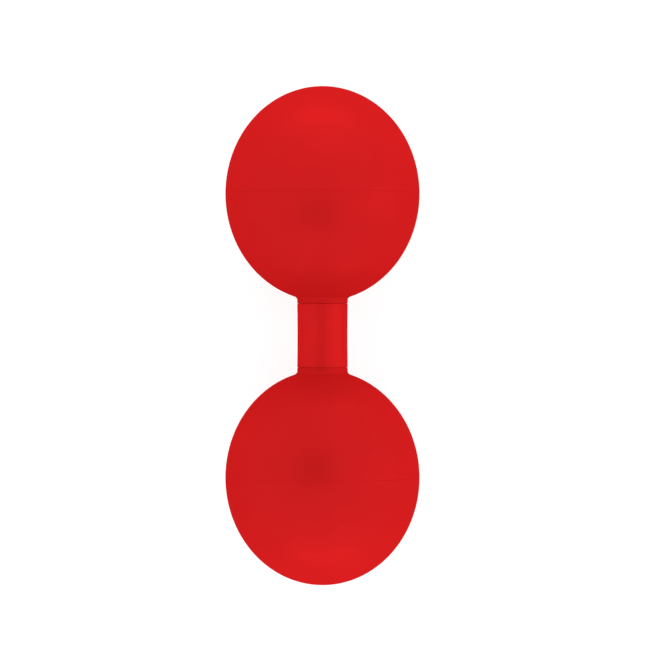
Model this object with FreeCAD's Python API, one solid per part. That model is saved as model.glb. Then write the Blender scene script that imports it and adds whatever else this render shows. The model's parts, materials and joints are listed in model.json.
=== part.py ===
"""A bulb-ended diabolo on a freewheeling bearing axle, as separate pieces.

The spin axis is Y and the origin is the middle of the axle, halfway along the string track.
Each bulb is an inner cup, moulded with the collar beside the neck, and an outer dome that
plugs into the cup's rim. The neck is a sleeve that the string runs on. It turns round the
axle on two shielded ball bearings, with a one-way roller clutch between them.
Every piece is drawn for the rear (+Y) half and turned half a turn about Z for the front.
All sizes are in millimetres.
"""

import math
import os

import FreeCAD, Part

V = FreeCAD.Vector

# --- outside shape -----------------------------------------------------------------------
BULB_DIAMETER = 80.0
BULB_LENGTH = 88.6          # pole to pole, along the axle
NECK_DIAMETER = 20.8
NECK_LENGTH = 31.4          # between the circles where the neck meets the bulbs
NECK_FILLET = 1.6           # where the collar flares into the bulb
COLLAR_LENGTH = 0.3         # straight stub of neck moulded with each cup, up to its lip
SLEEVE_GAP = 0.2            # running gap between the sleeve's end and the collar
SLEEVE_EDGE = 0.08          # edge break at the sleeve's ends
SKIRT_LENGTH = 1.0          # lip of the collar that covers the sleeve's end
SKIRT_SHARE = 0.25          # share of the sleeve's wall over the bearing that the lip takes
SKIRT_CLEARANCE = 0.15      # radial, from the lip to the sleeve's end
TRACK_WAIST = 0.1           # how much the string track dips at its middle, on the radius

# --- shells ------------------------------------------------------------------------------
SHELL_WALL = 2.4
SOCKET_DEPTH = 9.0          # straight bore inside the cup's rim
SPIGOT_LENGTH = 8.0         # plug of the dome that fills the socket
SPIGOT_CLEARANCE = 0.15     # radial
SPIGOT_LEAD = 0.5           # chamfer that leads the plug into the socket
SPIGOT_FLOOR = 1.4          # wall left under the seal groove
SPIGOT_ROOT = 1.5           # height that the plug's bore carries on above the seam
ROOT_TAPER = 5.0            # height of the cone from the plug's bore to the dome's wall
SEAL_CORD = 1.8             # section of the rubber seal ring, squeezed
SEAL_CLEARANCE = 0.05
SEAL_POSITION = 4.2         # from the seam down to the middle of the seal groove
SEAM_BREAK = 0.06           # edge break on both sides of the seam
RIB_COUNT = 6
RIB_THICKNESS = 1.8
RIB_DROP = 3.0              # top of the ribs below the end of the hub
HUB_DIAMETER = 24.0
HUB_LENGTH = 16.5           # from the collar's face to the end that the washer sits on

# --- axle --------------------------------------------------------------------------------
SHAFT_DIAMETER = 8.0
LAND_STEP = 1.0             # height of the middle land above the shaft
THREAD_PITCH = 1.25
THREAD_DEPTH = 0.62
THREAD_PROUD = 2.0          # shaft beyond the nut
SHAFT_CHAMFER = 0.8
SLIP_CLEARANCE = 0.02       # radial, pieces that slide on to the shaft

# --- hub bush, washers and nuts ----------------------------------------------------------
BUSH_HEX = 12.5             # across flats, keys the cup to the axle
BUSH_HEX_CLEARANCE = 0.05
BUSH_FLANGE_STEP = 0.8      # flange beyond the hexagon's corners, on the radius
BUSH_FLANGE_THICKNESS = 1.4
BUSH_FLANGE_SINK = 0.2      # flange face below the collar's face
BUSH_SHORT = 0.1            # bush ends this far below the hub, so the washer grips the cup
NOSE_RELIEF = 0.1           # nose is smaller than the bearing's inner ring by this radius
WASHER_DIAMETER = 22.0
WASHER_THICKNESS = 2.0
LOCK_WASHER_DIAMETER = 14.4
LOCK_WASHER_THICKNESS = 2.0
LOCK_WASHER_SPLIT = 1.0
LOCK_WASHER_SLANT = 25.0    # degrees, of the split from the axle
NUT_ACROSS_FLATS = 13.0
NUT_HEX_HEIGHT = 6.3
NUT_CHAMFER = 30.0          # degrees, at the hexagon's corners
NUT_COLLAR_HEIGHT = 1.9
NUT_COLLAR_STEP = 0.4       # collar is smaller than the flats by this radius
NUT_COLLAR_WALL = 0.55

# --- ball bearings -----------------------------------------------------------------------
BEARING_OUTER_DIAMETER = 16.0
BEARING_WIDTH = 5.0
BALL_DIAMETER = 2.0
BALL_COUNT = 10
BALL_CLEARANCE = 0.03
RING_SHOULDER = 0.6         # ring edge from the pitch circle, on the radius
SHIELD_THICKNESS = 0.25
SHIELD_INSET = 0.25
SHIELD_SEAT = 0.3           # how deep the shield sits in the outer ring, on the radius
SHIELD_GAP = 0.12           # between the shield and the inner ring
CAGE_THICKNESS = 0.7        # radial
CAGE_WIDTH = 2.9

# --- one-way clutch ----------------------------------------------------------------------
CLUTCH_SECTION = 2.0        # radial, from the land to the sleeve
CLUTCH_END_GAP = 2.8        # from each bearing to the end of the clutch
CLUTCH_SHELL_WALL = 0.6
CLUTCH_LIP = 0.5            # thickness of the turned-in ends
CLUTCH_CLEARANCE = 0.03     # pieces inside the clutch, and rollers off the land
LIP_CLEARANCE = 0.12        # radial, between the turned-in ends and the land
CAGE_CLEARANCE = 0.09       # radial, between the clutch's cage and the land
CAGE_END = 1.6              # cage beyond a roller's window, at each end
ROLLER_DIAMETER = 1.5
ROLLER_COUNT = 8
RAMP_ANGLE = 7.0            # degrees from the locked end of a ramp to the free end
RAMP_RISE = 0.06
SPRING_SHEET = 0.12
SPRING_ROOM = 0.75          # slot beyond the roller that the leaf spring sits in
SPRING_SIDE = 0.2           # from the leaf's edges to the land and to the shell
SPRING_SHORT = 0.6          # leaf is shorter than the roller at each end

# --- worked out from the sizes above -------------------------------------------------------
bulb_r = BULB_DIAMETER / 2
bulb_half = BULB_LENGTH / 2
inner_r = bulb_r - SHELL_WALL
inner_half = bulb_half - SHELL_WALL
neck_r = NECK_DIAMETER / 2
bearing_r = BEARING_OUTER_DIAMETER / 2
hub_r = HUB_DIAMETER / 2
bulb_y = NECK_LENGTH / 2 + bulb_half * math.sqrt(1 - (neck_r / bulb_r) ** 2)


def neck_flare():
    """Centre of the arc from the neck to the bulb, and where it touches the bulb's ellipse.

    The centre lies one fillet outside the ellipse, along its normal, and one fillet outside
    the neck. The angle of that point of the ellipse is found by halving.
    """

    def reach(angle):
        point = V(bulb_r * math.sin(angle), bulb_y - bulb_half * math.cos(angle), 0)
        normal = V(math.sin(angle) / bulb_r, -math.cos(angle) / bulb_half, 0)
        return point, point + normal.normalize() * NECK_FILLET

    low, high = 0.0, math.pi / 2
    while high - low > 1e-12:
        middle = (low + high) / 2
        if reach(middle)[1].x < neck_r + NECK_FILLET:
            low = middle
        else:
            high = middle
    point, centre = reach(low)
    return centre, point


flare_centre, flare_touch = neck_flare()
collar_y = flare_centre.y - COLLAR_LENGTH
sleeve_y = collar_y - SLEEVE_GAP
skirt_y = collar_y - SKIRT_LENGTH
skirt_r = neck_r - SKIRT_SHARE * (neck_r - bearing_r)
shoulder_y = skirt_y - SLEEVE_GAP
sleeve_end_r = skirt_r - SKIRT_CLEARANCE
hub_y = collar_y + HUB_LENGTH

socket_r = inner_r * math.sqrt(1 - (SOCKET_DEPTH / inner_half) ** 2)
spigot_r = socket_r - SPIGOT_CLEARANCE
seal_r = socket_r - SEAL_CLEARANCE - SEAL_CORD / 2
groove_r = seal_r - SEAL_CORD / 2 - SEAL_CLEARANCE
spigot_bore_r = groove_r - SPIGOT_FLOOR
seal_y = bulb_y - SEAL_POSITION

shaft_r = SHAFT_DIAMETER / 2
land_r = shaft_r + LAND_STEP
slip_r = shaft_r + SLIP_CLEARANCE
washer_y = hub_y + WASHER_THICKNESS
nut_y = washer_y + LOCK_WASHER_THICKNESS
nut_hex_y = nut_y + NUT_HEX_HEIGHT
nut_end_y = nut_hex_y + NUT_COLLAR_HEIGHT
shaft_end_y = nut_end_y + THREAD_PROUD
nut_collar_r = NUT_ACROSS_FLATS / 2 - NUT_COLLAR_STEP

bearing_y = sleeve_y - BEARING_WIDTH
bearing_mid_y = sleeve_y - BEARING_WIDTH / 2
pitch_r = (shaft_r + bearing_r) / 2
ball_r = BALL_DIAMETER / 2
race_r = ball_r + BALL_CLEARANCE
inner_ring_r = pitch_r - RING_SHOULDER
outer_ring_r = pitch_r + RING_SHOULDER
flange_r = BUSH_HEX / math.sqrt(3) + BUSH_FLANGE_STEP
flange_y = collar_y + BUSH_FLANGE_SINK
flange_top_y = flange_y + BUSH_FLANGE_THICKNESS

clutch_r = land_r + CLUTCH_SECTION
clutch_y = bearing_y - CLUTCH_END_GAP
clutch_bore_r = clutch_r - CLUTCH_SHELL_WALL
cage_y = clutch_y - CLUTCH_LIP - CLUTCH_CLEARANCE
window_y = cage_y - CAGE_END
roller_y = window_y - 2 * CLUTCH_CLEARANCE
roller_r = ROLLER_DIAMETER / 2
roller_pitch_r = land_r + CLUTCH_CLEARANCE + roller_r


# --- drawing helpers -----------------------------------------------------------------------
def at(radius, y):
    """A point of a turned profile: its radius and its place along the axle."""
    return V(radius, y, 0)


def line(start, end):
    return Part.LineSegment(start, end).toShape()


def arc(start, middle, end):
    return Part.Arc(start, middle, end).toShape()


def ellipse_arc(radius, half, start, end):
    """The arc between two points of the bulb's ellipse with these half-axes.

    A bulb wider than it is long swaps the ellipse's axes. A dome turned from that arc comes
    back from its STEP file as another shape, so there the arc is the same curve as a spline.
    """
    centre = at(0, bulb_y)
    pole, equator = at(0, bulb_y + half), at(radius, bulb_y)
    if half >= radius:
        curve = Part.Ellipse(pole, equator, centre)
    else:
        curve = Part.Ellipse(equator, pole, centre)
    first, last = curve.parameter(start), curve.parameter(end)
    if abs(last - first) > math.pi:     # the arc crosses the curve's own start
        first, last = (v - 2 * math.pi if v > math.pi else v for v in (first, last))
    piece = Part.ArcOfEllipse(curve, min(first, last), max(first, last))
    return piece.toShape() if half >= radius else piece.toBSpline().toShape()


def on_ellipse(radius, half, y):
    """The point of an ellipse round the bulb's centre at this place along the axle."""
    return at(radius * math.sqrt(1 - ((y - bulb_y) / half) ** 2), y)


def below_centre(radius, half, r):
    """The point of the ellipse at this radius, on the side nearer the neck."""
    return at(r, bulb_y - half * math.sqrt(1 - (r / radius) ** 2))


def turn(edges):
    """The solid that a closed profile sweeps round the axle."""
    wire = Part.Wire(Part.__sortEdges__(edges))
    return Part.Face(wire).revolve(V(0, 0, 0), V(0, 1, 0), 360)


def turned(*corners):
    """The solid of a profile with straight sides, given as (radius, y) corners."""
    points = [at(*corner) for corner in corners]
    return turn([line(a, b) for a, b in zip(points, points[1:] + points[:1])])


def ring(bore, outside, low, high):
    return turned((bore, low), (outside, low), (outside, high), (bore, high))


def rod(radius, low, high, centre=V(0, 0, 0)):
    """A cylinder along the axle."""
    return Part.makeCylinder(radius, high - low, centre + V(0, low, 0), V(0, 1, 0))


def hexagon(across_flats, low, high):
    """A hexagonal bar along the axle."""
    corner_r = across_flats / math.sqrt(3)
    corners = [
        V(corner_r * math.cos(math.radians(60 * k)), low, corner_r * math.sin(math.radians(60 * k)))
        for k in range(6)
    ]
    outline = Part.Wire(Part.makePolygon(corners + corners[:1]))
    return Part.Face(outline).extrude(V(0, high - low, 0))


def around(shape, count, start=0.0):
    """Copies of a shape at equal angles round the axle."""
    copies = []
    for k in range(count):
        copy = shape.copy()
        copy.rotate(V(0, 0, 0), V(0, 1, 0), start + 360.0 * k / count)
        copies.append(copy)
    return copies


def to_front(shape):
    """The rear piece's partner in the front half."""
    copy = shape.copy()
    copy.rotate(V(0, 0, 0), V(0, 0, 1), 180)
    return copy


# --- shells ----------------------------------------------------------------------------------
def cup():
    """Inner half of a bulb, with its collar and lip, socket, hub and ribs."""
    to_neck, to_bulb = V(-1, 0, 0), (flare_touch - flare_centre).normalize()
    middle = flare_centre + (to_neck + to_bulb).normalize() * NECK_FILLET
    flare_start = at(neck_r, flare_centre.y)
    rim = on_ellipse(bulb_r, bulb_half, bulb_y - SEAM_BREAK)
    socket_floor = at(socket_r, bulb_y - SOCKET_DEPTH)
    hub_root = below_centre(inner_r, inner_half, hub_r)
    bore_r = BUSH_HEX / 2 - BUSH_HEX_CLEARANCE
    recess_r = flange_r + BUSH_HEX_CLEARANCE
    corners = [
        socket_floor,
        at(socket_r, bulb_y),
        at(rim.x - SEAM_BREAK, bulb_y),
        rim,
    ]
    hub = [
        hub_root,
        at(hub_r, hub_y),
        at(bore_r, hub_y),
        at(bore_r, flange_top_y),
        at(recess_r, flange_top_y),
        at(recess_r, collar_y),
        at(skirt_r, collar_y),
        at(skirt_r, skirt_y),
        at(neck_r, skirt_y),
        flare_start,
    ]
    edges = [line(a, b) for a, b in zip(corners, corners[1:])]
    edges += [line(a, b) for a, b in zip(hub, hub[1:])]
    edges.append(arc(flare_start, middle, flare_touch))
    edges.append(ellipse_arc(bulb_r, bulb_half, flare_touch, rim))
    edges.append(ellipse_arc(inner_r, inner_half, hub_root, socket_floor))
    shell = turn(edges)
    keyway = hexagon(BUSH_HEX + 2 * BUSH_HEX_CLEARANCE, flange_top_y, hub_y)
    return shell.fuse(cup_ribs()).cut(keyway).removeSplitter()


def cup_ribs():
    """Webs between the hub and the wall, sunk half a wall into the shell."""
    top = hub_y - RIB_DROP
    root_r = inner_r + SHELL_WALL / 2
    root_half = inner_half + SHELL_WALL / 2
    foot, rim = at(0, bulb_y - root_half), on_ellipse(root_r, root_half, top)
    pocket = turn([
        ellipse_arc(root_r, root_half, foot, rim),
        line(rim, at(0, top)),
        line(at(0, top), foot),
    ])
    start_r = hub_r - SHELL_WALL / 2
    plate = Part.makeBox(
        bulb_r, BULB_LENGTH, RIB_THICKNESS, V(start_r, foot.y, -RIB_THICKNESS / 2)
    )
    rib = plate.common(pocket)
    return around(rib, RIB_COUNT)


def dome():
    """Outer half of a bulb, with the plug and the groove for its seal ring."""
    pole, inner_pole = at(0, bulb_y + bulb_half), at(0, bulb_y + inner_half)
    rim = on_ellipse(bulb_r, bulb_half, bulb_y + SEAM_BREAK)
    root_y = bulb_y + SPIGOT_ROOT
    wall_start = on_ellipse(inner_r, inner_half, root_y + ROOT_TAPER)
    tip_y = bulb_y - SPIGOT_LENGTH
    groove_half = SEAL_CORD / 2 + SEAL_CLEARANCE
    corners = [
        wall_start,
        at(spigot_bore_r, root_y),
        at(spigot_bore_r, tip_y),
        at(spigot_r - SPIGOT_LEAD, tip_y),
        at(spigot_r, tip_y + SPIGOT_LEAD),
        at(spigot_r, seal_y - groove_half),
        at(groove_r, seal_y - groove_half),
        at(groove_r, seal_y + groove_half),
        at(spigot_r, seal_y + groove_half),
        at(spigot_r, bulb_y),
        at(rim.x - SEAM_BREAK, bulb_y),
        rim,
    ]
    edges = [line(a, b) for a, b in zip(corners, corners[1:])]
    edges.append(ellipse_arc(bulb_r, bulb_half, rim, pole))
    edges.append(line(pole, inner_pole))
    edges.append(ellipse_arc(inner_r, inner_half, inner_pole, wall_start))
    return turn(edges)


def seal_ring():
    """Rubber ring in the dome's groove, at its squeezed section."""
    return Part.makeTorus(seal_r, SEAL_CORD / 2, V(0, seal_y, 0), V(0, 1, 0))


# --- axle ------------------------------------------------------------------------------------
def thread_profile():
    """Corners of one threaded end, from the hub out to the tip's chamfer.

    The thread is a row of rings at its pitch, which stand in for the helix.
    """
    root_r, flank = shaft_r - THREAD_DEPTH, THREAD_PITCH / 2
    tip_y = shaft_end_y - SHAFT_CHAMFER
    corners = [(shaft_r, hub_y)]
    for k in range(int((tip_y - hub_y) / THREAD_PITCH)):
        crest = hub_y + k * THREAD_PITCH
        corners += [(root_r, crest + flank), (shaft_r, crest + THREAD_PITCH)]
    return corners + [(shaft_r, tip_y), (shaft_r - SHAFT_CHAMFER, shaft_end_y)]


def axle_shaft():
    """Stepped steel shaft, with the clutch's land in the middle and a thread at each end."""
    rear = [(land_r, bearing_y), (shaft_r, bearing_y)] + thread_profile()
    front = [(r, -y) for r, y in reversed(rear)]
    return turned((0, -shaft_end_y), *front, *rear, (0, shaft_end_y))


def hub_bush():
    """Aluminium bush that keys the cup and presses on the bearing's inner ring."""
    nose_r = inner_ring_r - NOSE_RELIEF
    flange = turned(
        (slip_r, sleeve_y),
        (nose_r, sleeve_y),
        (nose_r, flange_y),
        (flange_r, flange_y),
        (flange_r, flange_top_y),
        (slip_r, flange_top_y),
    )
    body = hexagon(BUSH_HEX, flange_top_y, hub_y - BUSH_SHORT)
    body = body.cut(rod(slip_r, flange_top_y, hub_y))
    return flange.fuse(body).removeSplitter()


def washer():
    return ring(slip_r, WASHER_DIAMETER / 2, hub_y, washer_y)


def lock_washer():
    """Split spring washer, flattened under the nut."""
    outside = LOCK_WASHER_DIAMETER / 2
    split = Part.makeBox(
        outside, 2 * LOCK_WASHER_THICKNESS, LOCK_WASHER_SPLIT,
        V(0, washer_y - LOCK_WASHER_THICKNESS / 2, -LOCK_WASHER_SPLIT / 2),
    )
    split.rotate(V(outside / 2, washer_y, 0), V(1, 0, 0), LOCK_WASHER_SLANT)
    return ring(slip_r, outside, washer_y, nut_y).cut(split)


def locknut():
    """Hexagonal nut with chamfered corners and the collar that holds its nylon ring."""
    corner_r = NUT_ACROSS_FLATS / math.sqrt(3)
    flat_r = NUT_ACROSS_FLATS / 2
    drop = (corner_r - flat_r) * math.tan(math.radians(NUT_CHAMFER))
    envelope = turned(
        (slip_r, nut_y),
        (flat_r, nut_y),
        (corner_r, nut_y + drop),
        (corner_r, nut_hex_y - drop),
        (flat_r, nut_hex_y),
        (slip_r, nut_hex_y),
    )
    body = hexagon(NUT_ACROSS_FLATS, nut_y, nut_hex_y).common(envelope)
    inside_r = nut_collar_r - NUT_COLLAR_WALL
    collar = ring(inside_r, nut_collar_r, nut_hex_y, nut_end_y)
    return body.fuse(collar).removeSplitter()


def nut_insert():
    """Nylon locking ring in the nut's collar."""
    inside_r = nut_collar_r - NUT_COLLAR_WALL
    return ring(slip_r, inside_r, nut_hex_y, nut_end_y - NUT_COLLAR_WALL / 2)


# --- neck ------------------------------------------------------------------------------------
def axle_sleeve():
    """String sleeve, with a seat for a bearing at each end and for the clutch between."""
    ends = [
        (bearing_r, -sleeve_y),
        (sleeve_end_r - SLEEVE_EDGE, -sleeve_y),
        (sleeve_end_r, -sleeve_y + SLEEVE_EDGE),
        (sleeve_end_r, -shoulder_y),
        (neck_r - SLEEVE_EDGE, -shoulder_y),
        (neck_r, -shoulder_y + SLEEVE_EDGE),
    ]
    low = [at(*p) for p in ends]
    high = [at(r, -y) for r, y in reversed(ends)]
    seats = [
        high[-1],
        at(bearing_r, bearing_y),
        at(clutch_r, bearing_y),
        at(clutch_r, -bearing_y),
        at(bearing_r, -bearing_y),
        low[0],
    ]
    edges = [line(a, b) for a, b in zip(low, low[1:])]
    edges += [line(a, b) for a, b in zip(high, high[1:])]
    edges += [line(a, b) for a, b in zip(seats, seats[1:])]
    edges.append(arc(low[-1], at(neck_r - TRACK_WAIST, 0), high[0]))
    return turn(edges)


def ball_track():
    """The ring that the balls sweep, with their clearance."""
    return Part.makeTorus(pitch_r, race_r, V(0, bearing_mid_y, 0), V(0, 1, 0))


def bearing_inner_ring():
    body = ring(shaft_r, inner_ring_r, bearing_y, sleeve_y)
    return body.cut(ball_track())


def bearing_outer_ring():
    """Outer ring, with a ball track and a step at each face for the shields."""
    seat_r = outer_ring_r + SHIELD_SEAT
    depth = SHIELD_INSET + SHIELD_THICKNESS
    body = turned(
        (seat_r, bearing_y),
        (bearing_r, bearing_y),
        (bearing_r, sleeve_y),
        (seat_r, sleeve_y),
        (seat_r, sleeve_y - depth),
        (outer_ring_r, sleeve_y - depth),
        (outer_ring_r, bearing_y + depth),
        (seat_r, bearing_y + depth),
    )
    return body.cut(ball_track())


def bearing_shields():
    """The two pressed shields of one bearing."""
    bore, outside = inner_ring_r + SHIELD_GAP, outer_ring_r + SHIELD_SEAT
    near = bearing_y + SHIELD_INSET
    far = sleeve_y - SHIELD_INSET
    return Part.Compound([
        ring(bore, outside, near, near + SHIELD_THICKNESS),
        ring(bore, outside, far - SHIELD_THICKNESS, far),
    ])


def bearing_balls():
    ball = Part.makeSphere(ball_r, V(pitch_r, bearing_mid_y, 0))
    return Part.Compound(around(ball, BALL_COUNT))


def bearing_cage():
    """Thin ring with a pocket for each ball."""
    half = CAGE_WIDTH / 2
    body = ring(
        pitch_r - CAGE_THICKNESS / 2, pitch_r + CAGE_THICKNESS / 2,
        bearing_mid_y - half, bearing_mid_y + half,
    )
    pocket = Part.makeCylinder(race_r, bearing_r, V(0, bearing_mid_y, 0), V(1, 0, 0))
    return body.cut(around(pocket, BALL_COUNT))


# --- one-way clutch ----------------------------------------------------------------------------
def roller_room():
    """Where a roller can lie between the locked and the free end of its ramp."""
    radius, half = roller_r + CLUTCH_CLEARANCE, roller_y + CLUTCH_CLEARANCE
    locked = rod(radius, -half, half, V(roller_pitch_r, 0, 0))
    free = rod(radius, -half, half, V(roller_pitch_r + RAMP_RISE, 0, 0))
    free.rotate(V(0, 0, 0), V(0, 1, 0), RAMP_ANGLE)
    return locked.fuse(free)


def clutch_shell():
    """Drawn steel shell, with turned-in ends and a ramp above each roller."""
    lip_r = land_r + LIP_CLEARANCE
    body = turned(
        (lip_r, -clutch_y),
        (clutch_r, -clutch_y),
        (clutch_r, clutch_y),
        (lip_r, clutch_y),
        (lip_r, clutch_y - CLUTCH_LIP),
        (clutch_bore_r, clutch_y - CLUTCH_LIP),
        (clutch_bore_r, -clutch_y + CLUTCH_LIP),
        (lip_r, -clutch_y + CLUTCH_LIP),
    )
    return body.cut(around(roller_room(), ROLLER_COUNT))


def clutch_cage():
    """Nylon cage with a window for each roller and its spring."""
    body = ring(land_r + CAGE_CLEARANCE, clutch_bore_r - CLUTCH_CLEARANCE, -cage_y, cage_y)
    spring_side = roller_r + 2 * CLUTCH_CLEARANCE + SPRING_ROOM
    roller_side = roller_r + CLUTCH_CLEARANCE
    window = Part.makeBox(
        clutch_r, 2 * window_y, spring_side + roller_side, V(0, -window_y, -spring_side)
    )
    return body.cut(around(window, ROLLER_COUNT))


def clutch_rollers():
    roller = rod(roller_r, -roller_y, roller_y, V(roller_pitch_r, 0, 0))
    return Part.Compound(around(roller, ROLLER_COUNT))


def clutch_springs():
    """A bowed leaf behind each roller, between it and the cage."""
    low_r, high_r = land_r + SPRING_SIDE, clutch_bore_r - SPRING_SIDE
    crown = -roller_r - 2 * CLUTCH_CLEARANCE
    foot = crown - SPRING_ROOM + SPRING_SHEET + 2 * CLUTCH_CLEARANCE
    half = roller_y - SPRING_SHORT
    outer = [V(low_r, -half, foot), V(low_r, 0, crown), V(low_r, half, foot)]
    inner = [p - V(0, 0, SPRING_SHEET) for p in outer]
    outline = Part.Wire([
        arc(*outer),
        line(outer[2], inner[2]),
        arc(*reversed(inner)),
        line(inner[0], outer[0]),
    ])
    leaf = Part.Face(outline).extrude(V(high_r - low_r, 0, 0))
    return Part.Compound(around(leaf, ROLLER_COUNT))


# --- the assembly ------------------------------------------------------------------------------
PAIRED = {
    "cup": cup,
    "dome": dome,
    "seal_ring": seal_ring,
    "hub_bush": hub_bush,
    "washer": washer,
    "lock_washer": lock_washer,
    "locknut": locknut,
    "nut_insert": nut_insert,
    "bearing_inner_ring": bearing_inner_ring,
    "bearing_outer_ring": bearing_outer_ring,
    "bearing_shields": bearing_shields,
    "bearing_balls": bearing_balls,
    "bearing_cage": bearing_cage,
}
SINGLE = {
    "axle_shaft": axle_shaft,
    "axle_sleeve": axle_sleeve,
    "clutch_shell": clutch_shell,
    "clutch_cage": clutch_cage,
    "clutch_rollers": clutch_rollers,
    "clutch_springs": clutch_springs,
}


def assembly():
    """Every piece by its node name."""
    pieces = {name: draw() for name, draw in SINGLE.items()}
    for name, draw in PAIRED.items():
        rear = draw()
        pieces["rear_" + name] = rear
        pieces["front_" + name] = to_front(rear)
    return pieces


def main():
    os.makedirs("parts", exist_ok=True)
    for name, shape in sorted(assembly().items()):
        solids = shape.Solids
        if not solids or not all(s.isValid() and s.Volume > 0 for s in solids):
            raise ValueError(f"{name} isn't a set of valid solids")
        shape.exportStep(f"parts/{name}.step")
        print(f"{name:28s} solids {len(solids):2d}  volume {shape.Volume:10.2f} mm3")


main()
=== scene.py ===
"""The looks of a bulb-ended diabolo: moulded red shells, a string sleeve and a steel axle.

The spin axis is Y and the origin is the middle of the axle. Every surface is worked out for
the rear (+Y) half, and half a turn about Z carries it to the front. Places come from the
frame, and sizes are in metres.
"""

import json
import logging
import math
from dataclasses import dataclass
from enum import Enum

import bmesh
import bpy
import numpy as np
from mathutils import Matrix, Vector


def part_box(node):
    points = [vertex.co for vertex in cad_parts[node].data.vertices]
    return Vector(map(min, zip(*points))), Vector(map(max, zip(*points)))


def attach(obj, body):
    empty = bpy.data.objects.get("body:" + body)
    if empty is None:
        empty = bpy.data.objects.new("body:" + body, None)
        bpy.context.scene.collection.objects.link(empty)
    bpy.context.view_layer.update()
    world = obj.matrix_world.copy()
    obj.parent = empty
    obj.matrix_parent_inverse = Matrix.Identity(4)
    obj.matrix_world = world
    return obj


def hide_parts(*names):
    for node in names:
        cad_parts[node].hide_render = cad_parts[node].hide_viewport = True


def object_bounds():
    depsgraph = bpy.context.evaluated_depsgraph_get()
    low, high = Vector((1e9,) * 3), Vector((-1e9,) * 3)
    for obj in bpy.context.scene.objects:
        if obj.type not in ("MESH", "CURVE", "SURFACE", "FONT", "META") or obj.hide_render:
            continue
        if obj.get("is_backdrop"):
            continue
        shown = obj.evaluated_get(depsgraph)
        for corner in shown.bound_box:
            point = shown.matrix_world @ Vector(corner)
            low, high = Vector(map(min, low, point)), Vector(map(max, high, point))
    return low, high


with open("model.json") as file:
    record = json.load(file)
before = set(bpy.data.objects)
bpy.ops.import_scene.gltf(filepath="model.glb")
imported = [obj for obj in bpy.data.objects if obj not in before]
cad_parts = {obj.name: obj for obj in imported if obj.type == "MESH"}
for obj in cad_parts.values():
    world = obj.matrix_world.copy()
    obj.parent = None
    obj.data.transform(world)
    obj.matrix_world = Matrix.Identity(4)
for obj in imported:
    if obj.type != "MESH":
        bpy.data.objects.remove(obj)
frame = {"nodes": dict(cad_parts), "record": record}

log = logging.getLogger("diabolo")

MM = 0.001
SAME_PLACE = MM / 10000
Colour = tuple[float, float, float]
WHOLE = (0.0, 1.0)
MIDDLE = (0.3, 0.7)     # where most of a noise's values lie
CORNER_ROOM = 0.45      # the share of a side that one corner's rounding may take up


class Half(Enum):
    """The two halves of the diabolo, named by the end of the axle that they are on."""

    REAR = "rear"
    FRONT = "front"

    def node(self, piece: str) -> str:
        """The name of this half's CAD node of a piece."""
        return f"{self.value}_{piece}"

    def placed(self, points: np.ndarray) -> np.ndarray:
        """Points of the rear half, turned half a turn about Z if this is the front one."""
        return points if self is Half.REAR else points * np.array((-1.0, -1.0, 1.0))


class Shade(Enum):
    """How sharp an edge may be before its shading breaks."""

    FLANK = math.radians(70)
    ROUND = math.radians(42)
    CRISP = math.radians(24)


# --- surfaces ----------------------------------------------------------------------------
@dataclass
class Patch:
    """A closed surface: points, four-sided faces and three-sided ones."""

    points: np.ndarray
    quads: np.ndarray
    triangles: np.ndarray

    def volume(self) -> float:
        """The space inside: a sixth of each triangle's triple product with the origin."""
        corners = np.concatenate(
            (self.quads[:, (0, 1, 2)], self.quads[:, (0, 2, 3)], self.triangles)
        )
        a, b, c = (self.points[corners[:, k]] for k in range(3))
        return float(np.einsum("ij,ij->", a, np.cross(b, c)) / 6)

    def outward(self) -> "Patch":
        """The same surface with its faces pointing away from the space inside."""
        if self.volume() >= 0:
            return self
        return Patch(self.points, self.quads[:, ::-1], self.triangles[:, ::-1])


def faces_of(index: np.ndarray, around: bool, along: bool) -> tuple[np.ndarray, np.ndarray]:
    """The faces between neighbouring rows and columns of a grid of point numbers.

    Args:
        index: The point number at each row and column. A pole repeats one number along a row.
        around: Whether the last column joins the first.
        along: Whether the last row joins the first.

    Returns:
        The four-sided faces, and the three-sided ones beside the poles.
    """
    grid = index
    if around:
        grid = np.concatenate((grid, grid[:, :1]), axis=1)
    if along:
        grid = np.concatenate((grid, grid[:1]), axis=0)
    a, b = grid[:-1, :-1].ravel(), grid[:-1, 1:].ravel()
    c, d = grid[1:, 1:].ravel(), grid[1:, :-1].ravel()
    first_pole, last_pole = a == b, c == d
    whole = ~(first_pole | last_pole)
    quads = np.stack((a, b, c, d), axis=1)[whole]
    triangles = np.concatenate((
        np.stack((a, c, d), axis=1)[first_pole & ~last_pole],
        np.stack((a, b, c), axis=1)[last_pole & ~first_pole],
    ))
    return quads, triangles


def skin(grid: np.ndarray, along: bool) -> Patch:
    """The closed surface over a grid of points whose columns go round the axle.

    Args:
        grid: Points by row, column and coordinate.
        along: Whether the last row joins the first. If not, both end rows are poles.

    Returns:
        The surface, facing outwards.
    """
    rows, columns = grid.shape[:2]
    index = np.arange(rows * columns).reshape(rows, columns)
    if not along:
        index[0], index[-1] = index[0, 0], index[-1, 0]
    quads, triangles = faces_of(index, around=True, along=along)
    used, compact = np.unique(index, return_inverse=True)
    number = np.zeros(rows * columns, int)
    number[index.ravel()] = compact.ravel()
    points = grid.reshape(-1, 3)[used]
    return Patch(points, number[quads], number[triangles]).outward()


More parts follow.
